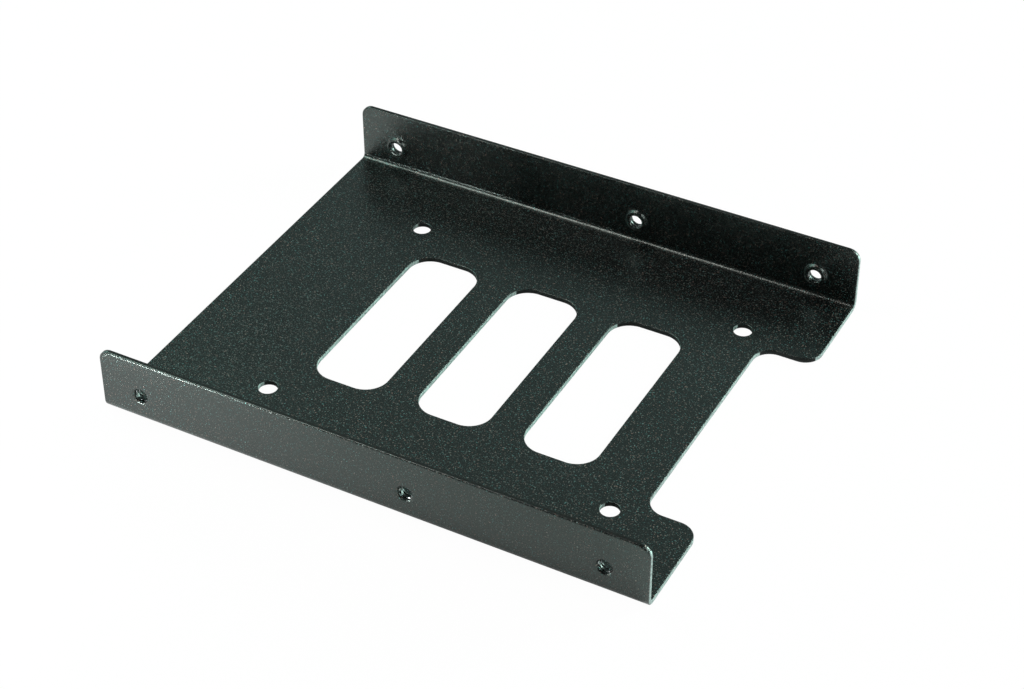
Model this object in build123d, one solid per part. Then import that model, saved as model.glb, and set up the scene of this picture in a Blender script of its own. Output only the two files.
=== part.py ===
from build123d import *
import os

# sheet and folds: coated steel, one flat blank folded up along both long sides
sheet = 1.1
bend_inside = 0.9
overall_width = 100.6
flange_height = 14.8
flange_corner = 2.5
edge_break = 0.1

# three tapped holes along each flange: the outer two at the bay's pitch, the same distance from both ends
bay_pitch = 101.6
bay_middle_pitch = 60.0
bay_hole_margin = 9.1
bay_hole_height = 6.35

# drawn collar round each tapped hole, standing into the channel
tapped_bore = 2.85
collar_wall = 0.95
collar_rise = 0.9
collar_root = 0.35
mouth_round = 0.7

# clearance holes for the drive, in a rectangle that ends short of the notch
drive_hole_diameter = 4.0
drive_pitch_length = 76.6
drive_pitch_width = 61.72
drive_hole_to_notch = 5.4

# row of slots in the plate, which also ends short of the notch
slot_count = 3
slot_width = 15.95
slot_length = 45.7
slot_bridge = 7.9
slot_to_notch = 14.05
slot_corner = 5.0

# notch for the plugs in the far end, between two ears
notch_depth = 11.95
notch_width = 55.5
notch_corner = 4.0
ear_corner = 4.0

# worked out from the sizes above: x runs along the flanges, y across them, z up
overall_length = bay_pitch + 2 * bay_hole_margin
notched_end = overall_length / 2
notch_floor = notched_end - notch_depth
side = overall_width / 2
bend_outside = bend_inside + sheet
bay_holes = (-bay_pitch / 2, bay_middle_pitch - bay_pitch / 2, bay_pitch / 2)
drive_middle = notch_floor - drive_hole_to_notch - drive_pitch_length / 2
slot_pitch = slot_width + slot_bridge
slot_middle = notch_floor - slot_to_notch - slot_width / 2 - slot_pitch * (slot_count - 1) / 2
bore_radius = tapped_bore / 2
collar_radius = bore_radius + collar_wall


def folded_channel():
    # U section drawn across the sheet, then run both ways to the two ends
    with BuildSketch(Plane.YZ) as section:
        with BuildLine():
            outer = FilletPolyline(
                (-side, flange_height), (-side, 0), (side, 0), (side, flange_height), radius=bend_outside
            )
            inner = FilletPolyline(
                (side - sheet, flange_height), (side - sheet, sheet),
                (sheet - side, sheet), (sheet - side, flange_height), radius=bend_inside
            )
            Line(outer @ 1, inner @ 0)
            Line(inner @ 1, outer @ 0)
        make_face()
    channel = extrude(section.sketch, amount=notched_end, both=True)
    flange_ends = channel.edges().filter_by(Axis.Y).group_by(Axis.Z)[-1]
    return fillet(flange_ends, flange_corner)


def punched(channel):
    # slots, clearance holes and the end notch go straight through the plate
    with BuildSketch() as cuts:
        with Locations((slot_middle, 0)):
            with GridLocations(slot_pitch, 0, slot_count, 1):
                RectangleRounded(slot_width, slot_length, slot_corner)
        with Locations((drive_middle, 0)):
            with GridLocations(drive_pitch_length, drive_pitch_width, 2, 2):
                Circle(drive_hole_diameter / 2)
        with Locations((notched_end, 0)):
            Rectangle(2 * notch_depth, notch_width)
    sheet_part = channel - extrude(cuts.sketch, amount=sheet)
    uprights = sheet_part.edges().filter_by(Axis.Z)
    inner_corners = uprights.filter_by_position(Axis.X, notch_floor, notch_floor)
    sheet_part = fillet(inner_corners, notch_corner)
    uprights = sheet_part.edges().filter_by(Axis.Z)
    ears = uprights.filter_by_position(Axis.X, notched_end, notched_end).filter_by_position(
        Axis.Y, -notch_width / 2, notch_width / 2
    )
    return fillet(ears, ear_corner)


def broken_edges(solid):
    # every cut edge is slightly blunt under the coating; smooth seams between bends and flats stay
    faces = solid.faces()
    sharp = ShapeList()
    for edge in solid.edges():
        normals = [face.normal_at(edge @ 0.5) for face in faces if edge in face.edges()]
        if len(normals) == 2 and abs(normals[0].dot(normals[1])) < 0.5:
            sharp.append(edge)
    return chamfer(sharp, edge_break)


def drawn_collar():
    # half section of the hole: rounded mouth, bore, blunt rim and the flare onto the inner face
    top = sheet + collar_rise
    outside = collar_radius + collar_root
    with BuildSketch(Plane.XZ) as half:
        with BuildLine():
            RadiusArc((bore_radius + mouth_round, 0), (bore_radius, mouth_round), mouth_round)
            Polyline(
                (bore_radius, mouth_round), (bore_radius, top - edge_break), (bore_radius + edge_break, top),
                (collar_radius - edge_break, top), (collar_radius, top - edge_break),
                (collar_radius, sheet + collar_root), (outside, sheet), (outside, 0), (bore_radius + mouth_round, 0)
            )
        make_face()
    return revolve(half.sketch, Axis.Z)


def with_collars(solid):
    # the same collar on both flanges, each pointing into the channel
    collar = drawn_collar()
    blank = Cylinder(collar_radius + collar_root, sheet, align=(Align.CENTER, Align.CENTER, Align.MIN))
    for hand in (-1, 1):
        for place in bay_holes:
            seat = Plane(origin=(place, hand * side, bay_hole_height), z_dir=(0, -hand, 0))
            solid = solid - seat * blank + seat * collar
    return solid


bracket = with_collars(broken_edges(punched(folded_channel())))
os.makedirs("parts", exist_ok=True)
export_step(bracket, "parts/bracket.step")
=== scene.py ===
import bpy
import math
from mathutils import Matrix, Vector


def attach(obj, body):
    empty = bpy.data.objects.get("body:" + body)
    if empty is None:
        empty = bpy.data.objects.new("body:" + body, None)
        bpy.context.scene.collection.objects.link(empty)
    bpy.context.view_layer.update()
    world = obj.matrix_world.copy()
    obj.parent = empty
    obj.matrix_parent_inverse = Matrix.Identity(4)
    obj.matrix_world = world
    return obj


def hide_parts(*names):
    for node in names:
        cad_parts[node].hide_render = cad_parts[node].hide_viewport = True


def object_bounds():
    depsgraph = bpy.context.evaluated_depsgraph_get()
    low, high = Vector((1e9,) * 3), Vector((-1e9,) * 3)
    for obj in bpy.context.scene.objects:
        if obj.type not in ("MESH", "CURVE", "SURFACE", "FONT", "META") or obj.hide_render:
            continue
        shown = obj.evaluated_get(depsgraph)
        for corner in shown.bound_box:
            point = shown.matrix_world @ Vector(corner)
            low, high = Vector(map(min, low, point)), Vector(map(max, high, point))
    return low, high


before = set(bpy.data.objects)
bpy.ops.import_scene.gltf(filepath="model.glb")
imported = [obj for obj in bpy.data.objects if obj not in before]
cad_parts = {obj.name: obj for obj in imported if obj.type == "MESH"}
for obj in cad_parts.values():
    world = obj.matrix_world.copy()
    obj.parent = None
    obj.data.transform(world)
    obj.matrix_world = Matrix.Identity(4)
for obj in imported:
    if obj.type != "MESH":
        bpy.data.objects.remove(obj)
cadLow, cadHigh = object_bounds()
mm = 0.001


def deselectAll():
    if bpy.context.object and bpy.context.object.mode != "OBJECT":
        bpy.ops.object.mode_set(mode="OBJECT")
    bpy.ops.object.select_all(action="DESELECT")


def makeActive(thing):
    deselectAll()
    thing.select_set(True)
    bpy.context.view_layer.objects.active = thing


def applyModifier(thing, kind, **settings):
    makeActive(thing)
    modifier = thing.modifiers.new(kind.title(), kind)
    for name, value in settings.items():
        setattr(modifier, name, value)
    bpy.ops.object.modifier_apply(modifier=modifier.name)


def settle(thing):
    # place, turn and size go into the mesh, so the object sits at the origin
    makeActive(thing)
    bpy.ops.object.transform_apply(location=True, rotation=True, scale=True)


# nodes: each helper links a socket and writes anything else as the socket's value


def feed(tree, socket, value):
    if isinstance(value, bpy.types.NodeSocket):
        tree.links.new(value, socket)
    else:
        socket.default_value = value


def addNode(tree, kind, **sockets):
    node = tree.nodes.new(kind)
    for name, value in sockets.items():
        feed(tree, node.inputs[name.replace("_", " ")], value)
    return node


def mathOf(tree, operation, *values):
    node = tree.nodes.new("ShaderNodeMath")
    node.operation = operation
    for socket, value in zip(node.inputs, values):
        feed(tree, socket, value)
    return node.outputs[0]


def fadeOf(tree, value, kind="LINEAR", **span):
    node = addNode(tree, "ShaderNodeMapRange", Value=value, **span)
    node.interpolation_type = kind
    return node.outputs["Result"]


def mixColor(tree, factor, low, high):
    node = tree.nodes.new("ShaderNodeMix")
    node.data_type = "RGBA"
    for name, value in (("Factor", factor), ("A", low), ("B", high)):
        feed(tree, node.inputs[name], value)
    return node.outputs["Result"]


def mixShader(tree, factor, low, high):
    node = tree.nodes.new("ShaderNodeMixShader")
    for socket, value in zip(node.inputs, (factor, low, high)):
        feed(tree, socket, value)
    return node.outputs[0]


# grain: shared by the coat, the bare walls and the thread

grain = {
    "coarse": {"Scale": 3400.0, "Detail": 2.0, "Roughness": 0.5},  # lumps about 0.3 mm apart
    "fine": {"Scale": 6200.0, "Detail": 1.0, "Roughness": 0.5},
    "tint": {"Scale": 1900.0, "Detail": 1.0, "Roughness": 0.6},
    "dust": {"Scale": 420.0},
    "fineShare": 0.35,
    "sparkLow": 0.60,
    "sparkHigh": 0.80,
    "tintLow": 0.42,
    "tintHigh": 0.58,
    "dustSize": 0.055,
}


def grainGroup():
    group = bpy.data.node_groups.new("coatGrain", "ShaderNodeTree")
    face = group.interface
    face.new_socket("Lumps", in_out="INPUT", socket_type="NodeSocketFloat").default_value = 1.0
    for name in ("Height", "Tint", "Spark", "Dust"):
        face.new_socket(name, in_out="OUTPUT", socket_type="NodeSocketFloat")
    start = group.nodes.new("NodeGroupInput")
    end = group.nodes.new("NodeGroupOutput")
    place = group.nodes.new("ShaderNodeTexCoord").outputs["Object"]
    coarse, fine, tint = (
        addNode(group, "ShaderNodeTexNoise", Vector=place, **grain[name]).outputs["Fac"]
        for name in ("coarse", "fine", "tint")
    )
    dust = addNode(group, "ShaderNodeTexVoronoi", Vector=place, **grain["dust"]).outputs["Distance"]
    lumps = mathOf(group, "MULTIPLY_ADD", fine, grain["fineShare"], coarse)
    feed(group, end.inputs["Height"], mathOf(group, "MULTIPLY", lumps, start.outputs["Lumps"]))
    for name, value, low, high in (
        ("Tint", tint, grain["tintLow"], grain["tintHigh"]),
        ("Spark", coarse, grain["sparkLow"], grain["sparkHigh"]),
        ("Dust", dust, grain["dustSize"], 0.0),
    ):
        feed(group, end.inputs[name], fadeOf(group, value, From_Min=low, From_Max=high))
    return group


coatGrain = grainGroup()


def grainedMaterial(finishOf):
    # a new material with the grain in it, whose lumps already drive the roughness
    made = bpy.data.materials.new(finishOf["name"])
    made.use_nodes = True
    tree = made.node_tree
    shader = tree.nodes["Principled BSDF"]
    finish = tree.nodes.new("ShaderNodeGroup")
    finish.node_tree = coatGrain
    rough = fadeOf(tree, finish.outputs["Height"], To_Min=finishOf["roughLow"], To_Max=finishOf["roughHigh"])
    feed(tree, shader.inputs["Roughness"], rough)
    return made, tree, shader, finish.outputs


# powder coat: nearly black and glossy, with fine cool and warm metallic sparks

powderCoat = {
    "name": "powderCoat",
    "dark": (0.0025, 0.003, 0.003, 1.0),
    "coolSpark": (0.22, 0.52, 0.50, 1.0),
    "warmSpark": (0.56, 0.40, 0.34, 1.0),
    "gloss": (0.82, 1.0, 0.93, 1.0),
    "dust": (0.20, 0.21, 0.20, 1.0),
    "roughLow": 0.20,
    "roughHigh": 0.30,
    "ior": 1.75,
    "edgeRound": 0.25 * mm,
    "lumpDepth": 0.055 * mm,
}

# the coat is thin, dull and dark on the flanges' sheared tops and on the walls cut along the strip

shearedTop = dict(
    powderCoat, name="shearedTop",
    coolSpark=(0.03, 0.08, 0.08, 1.0), warmSpark=(0.10, 0.05, 0.04, 1.0),
    roughLow=0.50, roughHigh=0.70, ior=1.35
)


def coatOf(finishOf):
    made, tree, shader, masks = grainedMaterial(finishOf)
    sparks = mixColor(tree, masks["Tint"], finishOf["coolSpark"], finishOf["warmSpark"])
    tone = mixColor(tree, masks["Spark"], finishOf["dark"], sparks)
    feed(tree, shader.inputs["Metallic"], masks["Spark"])
    feed(tree, shader.inputs["Base Color"], mixColor(tree, masks["Dust"], tone, finishOf["dust"]))
    edge = addNode(tree, "ShaderNodeBevel", Radius=finishOf["edgeRound"])
    bump = addNode(
        tree, "ShaderNodeBump", Distance=finishOf["lumpDepth"], Height=masks["Height"],
        Normal=edge.outputs["Normal"]
    )
    feed(tree, shader.inputs["Normal"], bump.outputs["Normal"])
    shader.inputs["IOR"].default_value = finishOf["ior"]
    shader.inputs["Specular Tint"].default_value = finishOf["gloss"]
    return made


coatMaterial = coatOf(powderCoat)
topMaterial = coatOf(shearedTop)

# bare steel: the strip is coated before it is cut and tapped

cutSteel = {
    "name": "cutSteel",
    "steel": (0.44, 0.58, 0.54, 1.0),
    "stain": (0.27, 0.35, 0.33, 1.0),
    "roughLow": 0.35,
    "roughHigh": 0.60,
}
tappedSteel = {
    "name": "tappedSteel",
    "steel": (0.45, 0.48, 0.48, 1.0),
    "stain": (0.02, 0.02, 0.02, 1.0),
    "roughLow": 0.12,
    "roughHigh": 0.30,
}


def steelOf(finishOf):
    made, tree, shader, masks = grainedMaterial(finishOf)
    shader.inputs["Metallic"].default_value = 1.0
    feed(tree, shader.inputs["Base Color"], mixColor(tree, masks["Tint"], finishOf["steel"], finishOf["stain"]))
    return made


cutMaterial = steelOf(cutSteel)
threadMaterial = steelOf(tappedSteel)

# thread: a screw-shaped cutter for each tapped hole

thread = {
    "majorRadius": 1.75 * mm,
    "pitch": 0.794 * mm,
    "flankDepth": 0.45 * mm,  # the cutter's inner side stays in the open bore
    "halfAngle": math.radians(30),
    "start": -1.2 * mm,  # outside the flange's outer face
    "turns": 6,
    "stepsPerTurn": 40,
    "mergeWithin": 0.001 * mm,
    "along": (-50.8 * mm, 9.2 * mm, 50.8 * mm),
    "across": 50.3 * mm,
    "up": 6.35 * mm,
}


def threadCutter():
    # one flank section, turned into a screw and closed at both ends
    deselectAll()
    bpy.ops.mesh.primitive_circle_add(vertices=3, radius=1.0)
    cutter = bpy.context.object
    cutter.name = "threadCutter"
    half = thread["flankDepth"] * math.tan(thread["halfAngle"])
    inner = thread["majorRadius"] - thread["flankDepth"]
    corners = ((thread["majorRadius"], 0.0), (inner, half), (inner, -half))
    for vertex, (out, up) in zip(cutter.data.vertices, corners):
        vertex.co = (out, 0.0, up + thread["start"])
    applyModifier(
        cutter, "SCREW", axis="Z", angle=math.tau, screw_offset=thread["pitch"], iterations=thread["turns"],
        steps=thread["stepsPerTurn"], render_steps=thread["stepsPerTurn"], use_merge_vertices=False
    )
    makeActive(cutter)
    bpy.ops.object.mode_set(mode="EDIT")
    bpy.ops.mesh.select_all(action="SELECT")
    bpy.ops.mesh.remove_doubles(threshold=thread["mergeWithin"])
    bpy.ops.mesh.fill_holes(sides=3)
    bpy.ops.mesh.normals_make_consistent(inside=False)
    bpy.ops.object.mode_set(mode="OBJECT")
    cutter.data.materials.append(threadMaterial)
    return cutter


def allCutters():
    # the same cutter at every hole, its axis turned to point into the channel
    first = threadCutter()
    copies = []
    for hand in (-1, 1):
        for place in thread["along"]:
            makeActive(first)
            bpy.ops.object.duplicate()
            copy = bpy.context.object
            copy.rotation_euler = (hand * math.pi / 2, 0.0, 0.0)
            copy.location = (place, hand * thread["across"], thread["up"])
            settle(copy)
            copies.append(copy)
    bpy.data.objects.remove(first)
    makeActive(copies[0])
    for copy in copies:
        copy.select_set(True)
    bpy.ops.object.join()
    return bpy.context.object


# bracket: the folded sheet, merged from the frame, with its walls cut bare and its threads cut

folded = {
    "mergeWithin": 0.00002 * mm,
    "sharpAngle": math.radians(50),
    "faceWeight": 100,
}

cutWalls = {
    "plateTop": 1.15 * mm,
    "bendStart": 48.3 * mm,
    "endBlock": 57.4 * mm,
    "flangeTop": 14.75 * mm,
    "upLimit": 0.5,  # walls steeper than this are cut walls of the plate
    "acrossLimit": 0.85,  # those that run across the strip are bare, the others keep a thin dull coat
    "levelLimit": 0.9,  # faces flatter than this at flangeTop are the flanges' sheared tops
}

# rollover: shearing leaves the flanges' outer outline rounder than their inner one

rollover = {
    "outerFace": 50.3 * mm,
    "cadChamfer": 0.1 * mm,
    "chamferFace": 0.05 * mm,  # nearer the outer face than this is the chamfer's outer line
    "chamferReach": 0.15 * mm,  # further in than this is past the chamfer
    "width": 0.3 * mm,
    "cornerX": 57.4 * mm,
    "cornerZ": 12.3 * mm,
    "cornerRadius": 2.5 * mm,
    "bendTop": 2.1 * mm,
}


def rollOuterEdges(piece):
    extra = rollover["width"] - rollover["cadChamfer"]
    for vertex in piece.data.vertices:
        x, y, z = vertex.co
        coreX = math.copysign(min(abs(x), rollover["cornerX"]), x)
        coreZ = min(z, rollover["cornerZ"])
        reach = math.hypot(x - coreX, z - coreZ)
        inFrom = rollover["outerFace"] - abs(y)
        onOutline = reach > rollover["cornerRadius"] - rollover["chamferReach"]
        if z < rollover["bendTop"] or not onOutline or inFrom > rollover["chamferReach"]:
            continue
        if inFrom < rollover["chamferFace"]:
            keep = (reach - extra) / reach
            vertex.co = (coreX + (x - coreX) * keep, y, coreZ + (z - coreZ) * keep)
        else:
            vertex.co.y = math.copysign(abs(y) - extra, y)


def markCutFaces(piece):
    # slot 0 is the coat, 1 the bare steel, 2 the thin dull coat
    for made in (coatMaterial, cutMaterial, topMaterial):
        piece.data.materials.append(made)
    for face in piece.data.polygons:
        x, y, z = face.center
        inPlate = z < cutWalls["plateTop"] and abs(y) < cutWalls["bendStart"]
        isWall = inPlate and abs(face.normal.z) < cutWalls["upLimit"]
        isEnd = abs(x) > cutWalls["endBlock"]
        isTop = z > cutWalls["flangeTop"] and face.normal.z > cutWalls["levelLimit"]
        if (isWall or isEnd) and abs(face.normal.x) > cutWalls["acrossLimit"]:
            face.material_index = 1
        elif isWall or isTop:
            face.material_index = 2


def bracketPiece():
    makeActive(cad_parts["bracket"])
    bpy.ops.object.duplicate()
    piece = bpy.context.object
    piece.name = "foldedBracket"
    piece.parent = None
    makeActive(piece)
    bpy.ops.object.mode_set(mode="EDIT")
    bpy.ops.mesh.select_all(action="SELECT")
    bpy.ops.mesh.remove_doubles(threshold=folded["mergeWithin"])
    bpy.ops.mesh.customdata_custom_splitnormals_clear()
    bpy.ops.object.mode_set(mode="OBJECT")
    piece.data.materials.clear()
    markCutFaces(piece)
    rollOuterEdges(piece)
    return piece


bracket = bracketPiece()
cutters = allCutters()
applyModifier(
    bracket, "BOOLEAN", operation="DIFFERENCE", solver="EXACT", material_mode="TRANSFER", object=cutters
)
bpy.data.objects.remove(cutters)
makeActive(bracket)
bpy.ops.object.shade_smooth_by_angle(angle=folded["sharpAngle"])
applyModifier(bracket, "WEIGHTED_NORMAL", keep_sharp=True, weight=folded["faceWeight"])
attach(bracket, "root")
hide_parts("bracket")
print("bracket made")

# floor, light and camera

studio = {
    "floorHalf": 3.0,
    "floorDrop": 0.02 * mm,
    "floorColor": (0.93, 0.93, 0.93, 1.0),
    "whiteSeen": 0.98,  # share of plain white in the floor, seen by the camera
    "whiteMirrored": 1.0,  # the same, seen in a reflection
    "plainWhite": (1.0, 1.0, 1.0, 1.0),
    "aroundLight": (0.05, 0.05, 0.05, 1.0),
    "backLight": (0.35, 0.45, 0.44, 1.0),
    "backStart": 0.45,
    "backFull": 0.85,
}

# painted shadows on the floor, seen only in reflections: the mirrored floor loses this share where all of its
# spans, each from none to full, overlap

paintedFloorShadows = {
    "paintedShadowBeforeFlange": {  # a painted shadow on the floor in front of the flange, more so towards the flange's right
        "share": 0.8,
        "spans": (("X", -70 * mm, 30 * mm), ("X", 59.5 * mm, 57.5 * mm), ("Y", -48.5 * mm, -50.5 * mm)),
    },
    # a painted contact shadow on the floor under the plate, seen in reflections
    "paintedShadowUnderPlate": {
        "share": 0.95,
        "spans": (
            ("X", -61 * mm, -59 * mm), ("X", 48 * mm, 47 * mm),
            ("Y", -50.5 * mm, -48.5 * mm), ("Y", 50.5 * mm, 48.5 * mm),
        ),
    },
}


def raysShare(tree):
    # how much of the floor is plain white for the ray that sees it; reflections see less of it where the painted
    # shadows lie
    rays = tree.nodes.new("ShaderNodeLightPath").outputs
    place = tree.nodes.new("ShaderNodeTexCoord").outputs["Object"]
    sides = addNode(tree, "ShaderNodeSeparateXYZ", Vector=place).outputs
    left = mathOf(tree, "MAXIMUM", rays["Is Glossy Ray"], rays["Is Transmission Ray"])
    for zone in paintedFloorShadows.values():
        shade = zone["share"]
        for side, start, full in zone["spans"]:
            fade = fadeOf(tree, sides[side], "SMOOTHSTEP", From_Min=start, From_Max=full)
            shade = mathOf(tree, "MULTIPLY", shade, fade)
        left = mathOf(tree, "MULTIPLY", left, mathOf(tree, "SUBTRACT", 1.0, shade))
    seen = mathOf(tree, "MULTIPLY", rays["Is Camera Ray"], studio["whiteSeen"])
    return mathOf(tree, "MULTIPLY_ADD", left, studio["whiteMirrored"], seen)


def floorPiece():
    deselectAll()
    height = cadLow[2] - studio["floorDrop"]
    bpy.ops.mesh.primitive_plane_add(size=2 * studio["floorHalf"], location=(0, 0, height))
    floor = bpy.context.object
    floor.name = "floor"
    made = bpy.data.materials.new("paleFloor")
    made.use_nodes = True
    tree = made.node_tree
    tree.nodes.remove(tree.nodes["Principled BSDF"])
    matt = addNode(tree, "ShaderNodeBsdfDiffuse", Color=studio["floorColor"])
    glow = addNode(tree, "ShaderNodeEmission", Strength=1.0)
    both = mixShader(tree, raysShare(tree), matt.outputs[0], glow.outputs[0])
    feed(tree, tree.nodes["Material Output"].inputs["Surface"], both)
    floor.data.materials.append(made)


def studioWorld():
    # dim all round, brighter and a little green low at the back; the camera sees plain white
    world = bpy.data.worlds.new("studio")
    bpy.context.scene.world = world
    world.use_nodes = True
    tree = world.node_tree
    way = tree.nodes.new("ShaderNodeTexCoord").outputs["Generated"]
    back = addNode(tree, "ShaderNodeSeparateXYZ", Vector=way).outputs["Y"]
    fade = fadeOf(tree, back, "SMOOTHSTEP", From_Min=studio["backStart"], From_Max=studio["backFull"])
    light = tree.nodes["Background"]
    feed(tree, light.inputs["Color"], mixColor(tree, fade, studio["aroundLight"], studio["backLight"]))
    shown = addNode(tree, "ShaderNodeBackground", Color=studio["plainWhite"], Strength=1.0)
    camera = tree.nodes.new("ShaderNodeLightPath").outputs["Is Camera Ray"]
    both = mixShader(tree, camera, light.outputs[0], shown.outputs[0])
    feed(tree, tree.nodes["World Output"].inputs["Surface"], both)


# lamps: all face the origin; frontLamp is small and close, for the near flange's ridge

lamps = [
    {"name": "keyLamp", "place": (-0.30, 0.02, 0.28), "size": 0.20, "power": 0.55, "color": (0.62, 1.0, 0.90)},
    {"name": "highLamp", "place": (-0.16, -0.03, 0.35), "size": 0.12, "power": 0.52, "color": (1.0, 0.86, 0.86)},
    {"name": "lowLamp", "place": (-0.30, -0.06, 0.12), "size": 0.15, "power": 0.10, "color": (0.7, 1.0, 1.0)},
    {"name": "frontLamp", "place": (-0.085, -0.12, 0.007), "size": 0.01, "power": 0.085, "color": (1.0, 1.0, 1.0)},
    {"name": "rightLamp", "place": (0.64, 0.0, 0.48), "size": 0.30, "power": 2.0, "color": (1.0, 1.0, 1.0)},
    {"name": "rimLamp", "place": (0.55, 0.55, 0.25), "size": 0.30, "power": 8.0, "color": (0.80, 1.0, 0.94)},
]


def addLamp(lamp):
    deselectAll()
    bpy.ops.object.light_add(type="AREA", location=lamp["place"])
    made = bpy.context.object
    made.name = lamp["name"]
    made.data.size = lamp["size"]
    made.data.energy = lamp["power"]
    made.data.color = lamp["color"]
    made.visible_camera = False
    made.rotation_euler = (-Vector(lamp["place"])).to_track_quat("-Z", "Y").to_euler()


view = {
    "place": (0.178089, -0.318961, 0.295231),
    "forward": (-0.37249, 0.68632, -0.62468),
    "roll": math.radians(-0.287),
    "lens": 80.65,
    "sensorWidth": 36.0,
    "clipStart": 0.01,
}


def addCamera():
    deselectAll()
    bpy.ops.object.camera_add(location=view["place"])
    camera = bpy.context.object
    camera.name = "photoView"
    camera.data.lens = view["lens"]
    camera.data.sensor_width = view["sensorWidth"]
    camera.data.clip_start = view["clipStart"]
    turn = Vector(view["forward"]).to_track_quat("-Z", "Y")
    camera.rotation_euler = turn.to_euler()
    camera.rotation_euler.rotate_axis("Z", view["roll"])
    bpy.context.scene.camera = camera


floorPiece()
studioWorld()
for lamp in lamps:
    addLamp(lamp)
addCamera()
bpy.context.scene.view_settings.view_transform = "Standard"
print("studio made")
